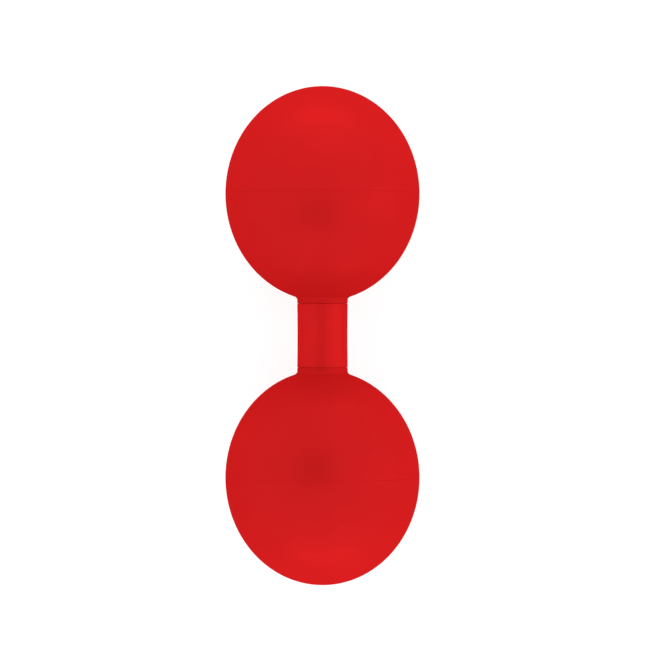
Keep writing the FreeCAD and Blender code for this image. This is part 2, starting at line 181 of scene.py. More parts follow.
def rounded(corners: list[tuple[float, float, float]], steps: int = 4) -> np.ndarray:
    """A path through corners, each rounded by its own radius.

    A corner is cut back on both sides by its radius times the tangent of half the turn. The
    points between follow the circle that touches both sides, as a weighted curve whose
    middle weight is the cosine of half the turn. A point further out on each side keeps the
    flats flat where they are shaded.

    Args:
        corners: Radius and place along the axle of each corner, and its rounding.
        steps: Stretches that a rounded corner has.

    Returns:
        The path as rows of radius and place. The first and last corner stay as they are.
    """
    path = np.array(corners, float)
    here, size = path[1:-1, :2], path[1:-1, 2]
    back, ahead = path[:-2, :2] - here, path[2:, :2] - here
    long_back = np.linalg.norm(back, axis=1)
    long_ahead = np.linalg.norm(ahead, axis=1)
    back, ahead = back / long_back[:, None], ahead / long_ahead[:, None]
    cosine = np.clip(-np.einsum("ij,ij->i", back, ahead), -1.0, 1.0)
    half_turn = np.arccos(cosine) / 2
    room = CORNER_ROOM * np.minimum(long_back, long_ahead)
    cut = np.minimum(size * np.tan(half_turn), room)
    support = np.minimum(2 * cut, room)
    t = np.linspace(0, 1, steps + 1)[None, :, None]
    start = (here + back * cut[:, None])[:, None]
    end = (here + ahead * cut[:, None])[:, None]
    weight = np.cos(half_turn)[:, None, None]
    middle = 2 * t * (1 - t) * weight
    curve = (1 - t) ** 2 * start + middle * here[:, None] + t**2 * end
    curve = curve / ((1 - t) ** 2 + middle + t**2)
    before = (here + back * support[:, None])[:, None]
    after = (here + ahead * support[:, None])[:, None]
    points = np.concatenate((before, curve, after), axis=1)
    keep = np.ones(points.shape[:2], bool)
    keep[size <= 0] = False
    keep[size <= 0, 1] = True
    return np.concatenate((path[:1, :2], points[keep], path[-1:, :2]))


def ellipse(radius: float, half: float, centre: float, angles: np.ndarray) -> np.ndarray:
    """Points of an egg's outline: radius by the sine and place by the cosine of the angle.

    Args:
        radius: Half-axis across the axle.
        half: Half-axis along the axle.
        centre: Place of the egg's middle along the axle.
        angles: Angles from the pole that is further from the neck.

    Returns:
        Rows of radius and place along the axle.
    """
    return np.stack((radius * np.sin(angles), centre + half * np.cos(angles)), axis=1)


def turned(profile: np.ndarray, columns: int) -> np.ndarray:
    """The grid that a profile sweeps round the axle, at equal angles.

    Args:
        profile: Rows of radius and place along the axle.
        columns: Points round the axle.

    Returns:
        Points by row, column and coordinate.
    """
    angle = np.linspace(0, 2 * math.pi, columns, endpoint=False)[None, :]
    radius, place = profile[:, :1], profile[:, 1:]
    return np.stack(
        (radius * np.cos(angle), place + 0 * angle, radius * np.sin(angle)), axis=2
    )


def eased(share: np.ndarray) -> np.ndarray:
    """A share held between 0 and 1, with a level start and end: three squares less two cubes."""
    held = np.clip(share, 0, 1)
    return held * held * (3 - 2 * held)


def hexagon_radius(angle: np.ndarray, flats: float) -> np.ndarray:
    """Distance from the axle to a hexagon: half its width over the cosine to the near flat.

    Args:
        angle: Angles round the axle, with a corner at zero.
        flats: Width across flats.

    Returns:
        The distance at each angle.
    """
    sixth = math.pi / 3
    return flats / 2 / np.cos(np.mod(angle, sixth) - sixth / 2)


# --- finishes ----------------------------------------------------------------------------
class Desk:
    """A material's node tree, with short ways to add what the finishes share."""

    def __init__(self, name: str) -> None:
        """Starts a material with a Principled surface and the piece's own coordinates."""
        self.material = bpy.data.materials.new(name)
        self.material.use_nodes = True
        self.tree = self.material.node_tree
        self.tree.nodes.clear()
        self.surface = self.tree.nodes.new("ShaderNodeBsdfPrincipled")
        output = self.tree.nodes.new("ShaderNodeOutputMaterial")
        self.link(self.surface.outputs["BSDF"], output.inputs["Surface"])
        self.place = self.tree.nodes.new("ShaderNodeTexCoord").outputs["Object"]

    def link(self, source: bpy.types.NodeSocket, target: bpy.types.NodeSocket) -> None:
        """Joins two sockets."""
        self.tree.links.new(source, target)

    def set(self, **values: object) -> None:
        """Sets sockets of the surface. An underscore in a name stands for a space."""
        for name, value in values.items():
            self.surface.inputs[name.replace("_", " ")].default_value = value

    def stretched(self, scale: Colour, turn: Colour = (0.0, 0.0, 0.0)) -> bpy.types.NodeSocket:
        """The piece's coordinates, scaled along each axis after a turn."""
        node = self.tree.nodes.new("ShaderNodeMapping")
        node.inputs["Scale"].default_value = scale
        node.inputs["Rotation"].default_value = turn
        self.link(self.place, node.inputs["Vector"])
        return node.outputs["Vector"]

    def noise(
        self,
        scale: float,
        detail: float = 2.0,
        rough: float = 0.5,
        at: bpy.types.NodeSocket | None = None,
    ) -> bpy.types.NodeSocket:
        """A noise from 0 to 1.

        Args:
            scale: Features per metre, or per unit of the coordinates given.
            detail: Octaves.
            rough: Strength of each octave beside the one before.
            at: Coordinates to read, or the piece's own.

        Returns:
            The noise's value.
        """
        node = self.tree.nodes.new("ShaderNodeTexNoise")
        node.inputs["Scale"].default_value = scale
        node.inputs["Detail"].default_value = detail
        node.inputs["Roughness"].default_value = rough
        self.link(at or self.place, node.inputs["Vector"])
        return node.outputs["Fac"]

    def ranged(
        self,
        value: bpy.types.NodeSocket,
        source: tuple[float, float],
        target: tuple[float, float],
    ) -> bpy.types.NodeSocket:
        """A value carried from one range to another, and held inside it."""
        node = self.tree.nodes.new("ShaderNodeMapRange")
        for name, number in zip(("From Min", "From Max"), source):
            node.inputs[name].default_value = number
        for name, number in zip(("To Min", "To Max"), target):
            node.inputs[name].default_value = number
        self.link(value, node.inputs["Value"])
        return node.outputs["Result"]

    def combined(
        self,
        operation: str,
        first: bpy.types.NodeSocket,
        second: bpy.types.NodeSocket | float,
    ) -> bpy.types.NodeSocket:
        """The result of a Math node on a value and another value or a number."""
        node = self.tree.nodes.new("ShaderNodeMath")
        node.operation = operation
        self.link(first, node.inputs[0])
        if isinstance(second, bpy.types.NodeSocket):
            self.link(second, node.inputs[1])
        else:
            node.inputs[1].default_value = second
        return node.outputs["Value"]

    def colours(
        self, factor: bpy.types.NodeSocket, low: Colour, high: Colour
    ) -> bpy.types.NodeSocket:
        """A colour between two, by a factor."""
        node = self.tree.nodes.new("ShaderNodeMix")
        node.data_type = "RGBA"
        node.inputs["A"].default_value = (*low, 1.0)
        node.inputs["B"].default_value = (*high, 1.0)
        self.link(factor, node.inputs["Factor"])
        return node.outputs["Result"]

    def bump(self, height: bpy.types.NodeSocket, depth: float) -> None:
        """Raises the surface by a height from 0 to 1 times a depth in metres."""
        node = self.tree.nodes.new("ShaderNodeBump")
        node.inputs["Strength"].default_value = 1.0
        node.inputs["Distance"].default_value = depth
        self.link(height, node.inputs["Height"])
        self.link(node.outputs["Normal"], self.surface.inputs["Normal"])

    def radius(self) -> bpy.types.NodeSocket:
        """Distance from the axle, as the length of the coordinates with none along it."""
        node = self.tree.nodes.new("ShaderNodeVectorMath")
        node.operation = "LENGTH"
        self.link(self.stretched((1.0, 0.0, 1.0)), node.inputs[0])
        return node.outputs["Value"]


def scaled(colour: Colour, share: float) -> Colour:
    """A colour made lighter or darker by a share."""
    return tuple(channel * share for channel in colour)


@dataclass(frozen=True)
class MouldedPlastic:
    """Injection-moulded plastic: a faint flow pattern, mould texture and handling scuffs."""

    name: str
    colour: Colour
    roughness: float = 0.34
    specular: float = 0.0
    gloss: Colour = (1.0, 0.0, 0.0)
    pearl: float = 0.12
    mottle: float = 0.025
    grain: float = 4 * MM / 1000
    flow_size: float = 24 * MM
    grain_size: float = 0.35 * MM
    grain_range: tuple[float, float] = (0.2, 0.8)
    rough_spread: float = 0.03
    scuff_size: float = 9 * MM
    scuff_range: tuple[float, float] = (0.55, 0.8)
    scuff_reach: float = 0.05
    scratch_scale: Colour = (900.0, 40.0, 60.0)
    scratch_turn: Colour = (0.4, 0.9, 0.2)
    scratch_range: tuple[float, float] = (0.62, 0.7)
    bend: float = 1.5

    def material(self) -> bpy.types.Material:
        """The finish as a Blender material."""
        desk = Desk(self.name)
        flow = desk.noise(1 / self.flow_size, detail=3)
        desk.link(
            desk.colours(
                desk.ranged(flow, MIDDLE, WHOLE),
                scaled(self.colour, 1 - self.mottle),
                scaled(self.colour, 1 + self.mottle),
            ),
            desk.surface.inputs["Base Color"],
        )
        grain = desk.noise(1 / self.grain_size, detail=2)
        scratch = desk.noise(
            1.0, detail=3, at=desk.stretched(self.scratch_scale, self.scratch_turn)
        )
        scuffed = desk.ranged(
            desk.noise(1 / self.scuff_size, detail=4), self.scuff_range, WHOLE
        )
        fine = desk.ranged(scratch, self.scratch_range, WHOLE)
        wear = desk.combined("MULTIPLY", scuffed, fine)
        smooth, dull = self.roughness - self.rough_spread, self.roughness + self.rough_spread
        rough = desk.ranged(grain, self.grain_range, (smooth, dull))
        desk.link(
            desk.combined("ADD", rough, desk.combined("MULTIPLY", wear, self.scuff_reach)),
            desk.surface.inputs["Roughness"],
        )
        desk.bump(desk.combined("SUBTRACT", grain, wear), self.grain)
        desk.set(
            IOR=self.bend,
            Specular_IOR_Level=self.specular,
            Specular_Tint=(*self.gloss, 1.0),
            Metallic=self.pearl,
        )
        return desk.material


@dataclass(frozen=True)
class TurnedMetal:
    """Machined metal: tool rings round the axle, a little tarnish and fine grit."""

    name: str
    colour: Colour
    roughness: float
    ring_pitch: float = 0.18 * MM
    ring_depth: float = 3 * MM / 1000
    tarnish: float = 0.12
    tarnish_size: float = 3 * MM
    tarnish_range: tuple[float, float] = (0.35, 0.75)
    across: float = 12.0
    ring_spread: float = 0.05
    haze: float = 0.08

    def material(self) -> bpy.types.Material:
        """The finish as a Blender material."""
        desk = Desk(self.name)
        rings = desk.noise(
            1.0, detail=2, at=desk.stretched((self.across, 1 / self.ring_pitch, self.across))
        )
        cloud = desk.noise(1 / self.tarnish_size, detail=5, rough=0.6)
        desk.link(
            desk.colours(
                desk.ranged(cloud, self.tarnish_range, WHOLE),
                self.colour,
                scaled(self.colour, 1 - self.tarnish),
            ),
            desk.surface.inputs["Base Color"],
        )
        spread = desk.ranged(rings, MIDDLE, (-self.ring_spread, self.ring_spread))
        haze = desk.ranged(cloud, MIDDLE, (self.roughness, self.roughness + self.haze))
        desk.link(desk.combined("ADD", haze, spread), desk.surface.inputs["Roughness"])
        desk.bump(rings, self.ring_depth)
        desk.set(Metallic=1.0)
        return desk.material


@dataclass(frozen=True)
class SoftPolymer:
    """Rubber or natural nylon: dull, slightly clouded, with a fine skin."""

    name: str
    colour: Colour
    roughness: float
    cloud: float = 0.15
    cloud_size: float = 2.5 * MM
    skin_depth: float = 8 * MM / 1000
    skin_size: float = 0.3 * MM
    rough_spread: float = 0.06
    glow: float = 0.0
    glow_depth: float = 0.8 * MM

    def material(self) -> bpy.types.Material:
        """The finish as a Blender material."""
        desk = Desk(self.name)
        clouds = desk.noise(1 / self.cloud_size, detail=4)
        desk.link(
            desk.colours(clouds, scaled(self.colour, 1 - self.cloud), self.colour),
            desk.surface.inputs["Base Color"],
        )
        skin = desk.noise(1 / self.skin_size, detail=3)
        smooth, dull = self.roughness - self.rough_spread, self.roughness + self.rough_spread
        desk.link(desk.ranged(skin, MIDDLE, (smooth, dull)), desk.surface.inputs["Roughness"])
        desk.bump(skin, self.skin_depth)
        desk.set(Subsurface_Weight=self.glow, Subsurface_Scale=self.glow_depth)
        return desk.material


class Finishes:
    """Every finish of the diabolo, by the record's slot."""

    def __init__(self) -> None:
        """Makes each slot's material once."""
        red = (0.622, 0.0128, 0.0138)
        kinds = {
            "red_shell": MouldedPlastic("moulded_red_shell", red),
            # The sleeve's red is painted about a tenth lighter than the shell's. This painted
            # light lifts the shade that the bulbs and the card cast on the neck.
            "red_sleeve": MouldedPlastic(
                "sleeve_red_painted_lighter", (0.690, 0.0146, 0.0156), roughness=0.3
            ),
            "seal_rubber": SoftPolymer("nitrile_rubber", (0.02, 0.02, 0.022), 0.5),
            "bush_aluminium": TurnedMetal("milled_aluminium", (0.80, 0.81, 0.82), 0.28),
            "zinc_steel": TurnedMetal("bright_zinc", (0.66, 0.69, 0.72), 0.26),
            "axle_steel": TurnedMetal("hardened_axle_steel", (0.48, 0.48, 0.49), 0.22),
            "bearing_steel": TurnedMetal(
                "ground_bearing_steel", (0.74, 0.74, 0.75), 0.10, ring_depth=MM / 1000
            ),
            "shield_steel": TurnedMetal("pressed_sheet_steel", (0.60, 0.60, 0.61), 0.32),
            "insert_nylon": SoftPolymer("natural_nylon", (0.82, 0.84, 0.80), 0.42, glow=0.3),
            "cage_nylon": SoftPolymer("filled_nylon", (0.20, 0.13, 0.07), 0.5, cloud=0.4),
        }
        self.by_slot = {slot: kind.material() for slot, kind in kinds.items()}
        self.slot_of = {s["node"]: s["material_slot"] for s in frame["record"]["subparts"]}

    def dress(self, piece: bpy.types.Object, slot: str) -> None:
        """Gives a piece its slot's material as its only one."""
        piece.data.materials.clear()
        piece.data.materials.append(self.by_slot[slot])

    def dress_frame(self, hidden: set[str]) -> None:
        """Gives every CAD node that stays in sight its slot's material."""
        for name in sorted(set(frame["nodes"]) - hidden):
            node = frame["nodes"][name]
            for place in node.material_slots:
                place.material = self.by_slot[self.slot_of[name]]
            log.info("kept CAD node %s in %s", name, self.slot_of[name])


class Bench:
    """Makes finished pieces from surfaces, and keeps count of what they replace."""

    def __init__(self, finishes: Finishes) -> None:
        """Starts with nothing made."""
        self.finishes = finishes
        self.replaced: set[str] = set()
        body_of = frame["record"]["behaviour"]["bodies"]
        self.body_of = {node: body for body, nodes in body_of.items() for node in nodes}

    def make(self, name: str, node: str, patch: Patch, shade: Shade) -> None:
        """Adds a piece in place of a CAD node, on that node's body and in its finish.

        Args:
            name: The new piece's name.
            node: The CAD node that it stands for.
            patch: Its closed surface.
            shade: Where its shading breaks.
        """
        mesh = bpy.data.meshes.new(name)
        faces = patch.quads.tolist() + patch.triangles.tolist()
        mesh.from_pydata(patch.points.tolist(), [], faces)
        self.weld(mesh)
        mesh.polygons.foreach_set("use_smooth", np.ones(len(mesh.polygons), bool))
        mesh.set_sharp_from_angle(angle=shade.value)
        mesh.update()
        piece = bpy.data.objects.new(name, mesh)
        bpy.context.scene.collection.objects.link(piece)
        self.finishes.dress(piece, self.finishes.slot_of[node])
        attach(piece, self.body_of[node])
        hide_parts(node)
        self.replaced.add(node)
        log.info("made %s for %s: %d faces", name, node, len(mesh.polygons))

    def make_both(self, made: list[tuple[str, str, Patch, Shade]]) -> None:
        """Adds a piece to each half of the diabolo, from surfaces of the rear one.

        Args:
            made: Each piece's name, CAD node, surface and shading, without its half.
        """
        for half in Half:
            for name, node, patch, shade in made:
                placed = Patch(half.placed(patch.points), patch.quads, patch.triangles)
                self.make(half.node(name), half.node(node), placed, shade)

    @staticmethod
    def weld(mesh: bpy.types.Mesh) -> None:
        """Joins points that share a place, which removes the faces that have no area."""
        work = bmesh.new()
        work.from_mesh(mesh)
        bmesh.ops.remove_doubles(work, verts=work.verts, dist=SAME_PLACE)
        work.to_mesh(mesh)
        work.free()


# --- sub-assemblies ----------------------------------------------------------------------
@dataclass
class Shells:
    """The inner cup and outer dome of each bulb, and the rubber ring between them."""

    wall: float = 2.4 * MM
    socket_depth: float = 9.0 * MM
    plug_clearance: float = 0.15 * MM
    plug_lead: float = 0.5 * MM
    plug_floor: float = 1.4 * MM
    plug_root: float = 1.5 * MM
    root_taper: float = 5.0 * MM
    seal_cord: float = 1.8 * MM
    seal_flash: float = 0.008 * MM
    seal_clearance: float = 0.05 * MM
    seal_position: float = 4.2 * MM
    flash_width: float = 0.15
    seam_edge: float = 0.08 * MM
    seam_root: float = 0.2 * MM
    groove_edge: float = 0.12 * MM
    groove_root: float = 0.15 * MM
    plug_edge: float = 0.2 * MM
    plug_mouth: float = 0.4 * MM
    plug_bend: float = 1.5 * MM
    dome_bend: float = 2.0 * MM
    socket_edge: float = 0.15 * MM
    socket_root: float = 0.2 * MM
    flare: float = 1.6 * MM
    lip_length: float = 1.0 * MM
    lip_wall: float = 0.6 * MM
    lip_edge: float = 0.05 * MM
    lip_inner_edge: float = 0.04 * MM
    recess: float = 8.05 * MM
    recess_edge: float = 0.1 * MM
    hub_radius: float = 12.0 * MM
    hub_round: float = 0.5 * MM
    hub_root: float = 0.7 * MM
    keyway: float = 12.6 * MM
    keyway_edge: float = 0.1 * MM
    keyway_reach: float = 0.12 * MM
    recess_depth: float = 1.6 * MM
    rib_count: int = 6
    rib_thickness: float = 1.8 * MM
    rib_round: float = 0.3 * MM
    rib_root: float = 0.5 * MM
    rib_drop: float = 3.0 * MM
    gate_radius: float = 0.9 * MM
    gate_depth: float = 0.12 * MM
    gate_steepness: int = 8
    columns: int = 288
    seal_columns: int = 24
    pocket_columns: int = 18
    touch_table: int = 20001
    flare_rows: int = 10
    cup_rows: int = 84
    wall_rows: int = 26
    floor_rows: int = 18
    rib_rows: int = 4
    dome_rows: int = 90
    inside_rows: int = 56

    def __post_init__(self) -> None:
        """Takes the bulb's outline from the rear cup and dome."""
        cup_low, cup_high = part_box("rear_cup")
        dome_low, dome_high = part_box("rear_dome")
        hub_low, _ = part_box("rear_washer")
        sleeve_low, sleeve_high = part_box("axle_sleeve")
        self.lip, self.seam = cup_low.y, cup_high.y
        self.collar = self.lip + self.lip_length
        self.plug_tip, self.pole = dome_low.y, dome_high.y
        self.radius = cup_high.z
        self.half = self.pole - self.seam
        self.hub_top = hub_low.y
        self.neck = sleeve_high.z
        self.inner = self.radius - self.wall
        self.inner_half = self.half - self.wall
        depth = self.socket_depth / self.inner_half
        self.socket = self.inner * math.sqrt(1 - depth**2)
        seal_middle = self.socket - self.seal_clearance - self.seal_cord / 2
        self.groove = seal_middle - self.seal_cord / 2 - self.seal_clearance
        self.bore = self.groove - self.plug_floor

    def flare_points(self) -> tuple[np.ndarray, float]:
        """The arc from the neck to the bulb, and the egg's angle where it touches.

        The arc's centre is one flare outside the egg and one flare outside the neck. The
        angle is where that holds, read off a fine table of angles by interpolation.

        Returns:
            Rows of radius and place, from the neck to the egg, and the angle.
        """
        angle = np.linspace(math.pi / 2, math.pi, self.touch_table)
        egg = ellipse(self.radius, self.half, self.seam, angle)
        normal = np.stack((np.sin(angle) / self.radius, np.cos(angle) / self.half), axis=1)
        centre = egg + self.flare * normal / np.linalg.norm(normal, axis=1)[:, None]
        touch = float(np.interp(-self.neck - self.flare, -centre[:, 0], angle))
        middle = np.array((
            self.neck + self.flare, float(np.interp(touch, angle, centre[:, 1]))
        ))
        end = ellipse(self.radius, self.half, self.seam, np.array((touch,)))[0] - middle
        turn = math.atan2(end[1], end[0]) % (2 * math.pi)
        sweep = np.linspace(math.pi, turn, self.flare_rows)
        arc = middle + self.flare * np.stack((np.cos(sweep), np.sin(sweep)), axis=1)
        return arc, touch

    def inner_angle(self, place: float) -> float:
        """The inner egg's angle at a place along the axle."""
        return math.acos((place - self.seam) / self.inner_half)

    def cup_profile(self) -> tuple[np.ndarray, slice, slice]:
        """The cup's outline in the pockets between its ribs.

        Returns:
            Rows of radius and place, the rows that a rib lifts to its top, and the rows of
            the hexagonal keyway.
        """
        arc, touch = self.flare_points()
        outside = ellipse(
            self.radius, self.half, self.seam, np.linspace(touch, math.pi / 2, self.cup_rows)
        )
        rib_top = self.hub_top - self.rib_drop
        floor_angle = self.inner_angle(self.seam - self.socket_depth)
        top_angle = self.inner_angle(rib_top)
        root_angle = math.pi - math.asin(self.hub_radius / self.inner)
        wall_angles = np.linspace(floor_angle, top_angle, self.wall_rows)
        wall = ellipse(self.inner, self.inner_half, self.seam, wall_angles)
        floor_angles = np.linspace(top_angle, root_angle, self.floor_rows)
        floor = ellipse(self.inner, self.inner_half, self.seam, floor_angles)
        mouth = rounded([
            (*outside[-2], 0.0),
            (*outside[-1], self.seam_edge),
            (self.socket, self.seam, self.socket_edge),
            (*wall[0], self.socket_root),
            (*wall[1], 0.0),
        ])[1:-1]
        root = rounded([
            (*floor[-2], 0.0),
            (*floor[-1], self.hub_root),
            (self.hub_radius, rib_top, 0.0),
        ])[1:]
        recess_top = self.collar + self.recess_depth
        keyway = self.keyway / 2
        lip_inside = self.neck - self.lip_wall
        hub = rounded([
            (self.hub_radius, rib_top, 0.0),
            (self.hub_radius, self.hub_top, self.hub_round),
            (keyway, self.hub_top, self.keyway_edge),
            (keyway, recess_top, 0.0),
            (self.recess, recess_top, 0.0),
            (self.recess, self.collar, self.recess_edge),
            (lip_inside, self.collar, self.recess_edge),
            (lip_inside, self.lip, self.lip_inner_edge),
            (self.neck, self.lip, self.lip_edge),
            (*arc[0], 0.0),
        ])[1:-1]
        before = np.concatenate((arc, outside[1:-1], mouth, wall[1:]))
        under_ribs = np.concatenate((floor[1:-1], root))
        lifted = slice(len(before), len(before) + len(under_ribs))
        profile = np.concatenate((before, under_ribs, hub))
        keyed = np.isclose(profile[:, 0], keyway, atol=self.keyway_reach)
        rows = np.flatnonzero(keyed)
        return profile, lifted, slice(rows[0], rows[-1] + 1)

    def rib_columns(self) -> tuple[np.ndarray, np.ndarray, np.ndarray]:
        """The columns of half a sector, from the middle of a rib to the middle of a pocket.

        A rib's top edge and root are quarter circles, and its side stands between them.

        Returns:
            Each column's distance from the rib's middle plane, how far it lies below the
            rib's top, and how far it lies above the pocket's floor. A column has one of
            the last two, and the other is not a number.
        """
        turn = np.linspace(0, math.pi / 2, self.rib_rows)
        side = self.rib_thickness / 2
        top_out = side - self.rib_round * (1 - np.sin(turn))
        top_down = self.rib_round * (1 - np.cos(turn))
        root_out = side + self.rib_root * (1 - np.cos(turn))
        root_up = self.rib_root * (1 - np.sin(turn))
        out = np.concatenate(((0.0, side / 2), top_out, root_out))
        down = np.concatenate(((0.0, 0.0), top_down, np.full(len(turn), np.nan)))
        up = np.concatenate((np.full(2 + len(turn), np.nan), root_up))
        return out, down, up

    def cup(self) -> Patch:
        """The cup as one surface, whose columns bunch up at the ribs."""
        profile, lifted, keyed = self.cup_profile()
        out, down, up = self.rib_columns()
        sector = math.pi / self.rib_count
        radius = profile[:, :1]
        near = np.arcsin(out[None, :] / radius)
        share = np.linspace(0, 1, self.pocket_columns)[None, 1:]
        far = near[:, -1:] + (sector - near[:, -1:]) * share
        half = np.concatenate((near, far), axis=1)
        angle = np.concatenate((half, 2 * sector - half[:, -2:0:-1]), axis=1)
        below = np.concatenate((down, np.full(share.size, np.nan)))
        above = np.concatenate((up, np.zeros(share.size)))
        below = np.concatenate((below, below[-2:0:-1]))
        above = np.concatenate((above, above[-2:0:-1]))
        place = np.repeat(profile[:, 1:], angle.shape[1], axis=1)
        rib_top = self.hub_top - self.rib_drop
        floor = place[lifted]
        place[lifted] = np.where(
            np.isnan(below)[None, :],
            np.minimum(floor + np.nan_to_num(above)[None, :], rib_top),
            np.maximum(rib_top - np.nan_to_num(below)[None, :], floor),
        )
        starts = 2 * sector * np.arange(self.rib_count)
        angle = (angle[:, None, :] + starts[None, :, None]).reshape(len(profile), -1)
        place = np.tile(place, (1, self.rib_count))
        reach = np.repeat(radius, angle.shape[1], axis=1)
        reach[keyed] = hexagon_radius(angle[keyed], self.keyway) + (
            reach[keyed] - self.keyway / 2
        )
        grid = np.stack((reach * np.cos(angle), place, reach * np.sin(angle)), axis=2)
        return skin(grid, along=True)

    def dome(self) -> Patch:
        """The dome as one surface from its outer pole to its inner one."""
        outer_angles = np.linspace(0, math.pi / 2, self.dome_rows)
        outer = ellipse(self.radius, self.half, self.seam, outer_angles)
        step = 1 / (1 + (outer[:, 0] / self.gate_radius) ** self.gate_steepness)
        outer[:, 1] -= self.gate_depth * step
        root = self.seam + self.plug_root
        start = self.inner_angle(root + self.root_taper)
        inside_angles = np.linspace(start, 0, self.inside_rows)
        inside = ellipse(self.inner, self.inner_half, self.seam, inside_angles)
        plug = self.socket - self.plug_clearance
        groove_half = self.seal_cord / 2 + self.seal_clearance
        groove_low = self.seam - self.seal_position - groove_half
        groove_high = self.seam - self.seal_position + groove_half
        body = rounded([
            (*outer[-2], 0.0),
            (*outer[-1], self.seam_edge),
            (plug, self.seam, self.seam_root),
            (plug, groove_high, self.groove_edge),
            (self.groove, groove_high, self.groove_root),
            (self.groove, groove_low, self.groove_root),
            (plug, groove_low, self.groove_edge),
            (plug, self.plug_tip + self.plug_lead, self.plug_edge),
            (plug - self.plug_lead, self.plug_tip, self.plug_edge),
            (self.bore, self.plug_tip, self.plug_mouth),
            (self.bore, root, self.plug_bend),
            (*inside[0], self.dome_bend),
            (*inside[1], 0.0),
        ])[1:-1]
        profile = np.concatenate((outer[:-1], body, inside[1:]))
        return skin(turned(profile, self.columns), along=False)

    def seal(self) -> Patch:
        """The seal ring: a circle round a circle, with the mould's fine flash line on it."""
        middle = self.socket - self.seal_clearance - self.seal_cord / 2
        turn = np.linspace(0, 2 * math.pi, self.seal_columns, endpoint=False)
        flash = self.seal_flash * np.exp(-((np.sin(turn) / self.flash_width) ** 2))
        reach = self.seal_cord / 2 - self.seal_flash + flash
        profile = np.stack((
            middle + reach * np.cos(turn),
            self.seam - self.seal_position + reach * np.sin(turn),
        ), axis=1)
        return skin(turned(profile, self.columns), along=True)

    def build(self, bench: Bench) -> None:
        """Makes both halves' cup, dome and seal ring."""
        bench.make_both([
            ("cup_shell", "cup", self.cup(), Shade.ROUND),
            ("dome_shell", "dome", self.dome(), Shade.ROUND),
            ("seal", "seal_ring", self.seal(), Shade.ROUND),
        ])


@dataclass
class Neck:
    """The string sleeve that turns round the axle."""

    edge: float = 0.08 * MM
    gap: float = 0.1 * MM
    lip_wall: float = 0.6 * MM
    lip_clearance: float = 0.15 * MM
    waist: float = 0.1 * MM
    root: float = 0.1 * MM
    track_rows: int = 40
    columns: int = 240

    def build(self, bench: Bench) -> None:
        """Makes the sleeve: a track that dips at its middle, ends under the lips, and a bore."""
        _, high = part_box("axle_sleeve")
        cup_low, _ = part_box("rear_cup")
        shoulder = cup_low.y - self.gap
        seat_low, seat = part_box("rear_bearing_outer_ring")
        _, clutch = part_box("clutch_shell")
        end, radius = high.y, high.z
        under = radius - self.lip_wall - self.lip_clearance
        inset = shoulder - 3 * self.edge
        place = np.linspace(-inset, inset, self.track_rows)
        reach = radius - self.waist * (1 - (place / place[-1]) ** 2)
        track = np.stack((reach, place), axis=1)
        shut = rounded([
            (*track[-2], 0.0),
            (*track[-1], 0.0),
            (radius, shoulder, self.edge),
            (under, shoulder, self.root),
            (under, end, self.edge),
            (seat.z, end, self.edge),
            (seat.z, seat_low.y, self.root),
            (clutch.z, seat_low.y, self.root),
            (clutch.z, -seat_low.y, self.root),
            (seat.z, -seat_low.y, self.root),
            (seat.z, -end, self.edge),
            (under, -end, self.edge),
            (under, -shoulder, self.root),
            (radius, -shoulder, self.edge),
            (*track[0], 0.0),
        ])[2:-1]
        profile = np.concatenate((track, shut))
        grid = turned(profile, self.columns)
        bench.make("string_sleeve", "axle_sleeve", skin(grid, along=True), Shade.ROUND)


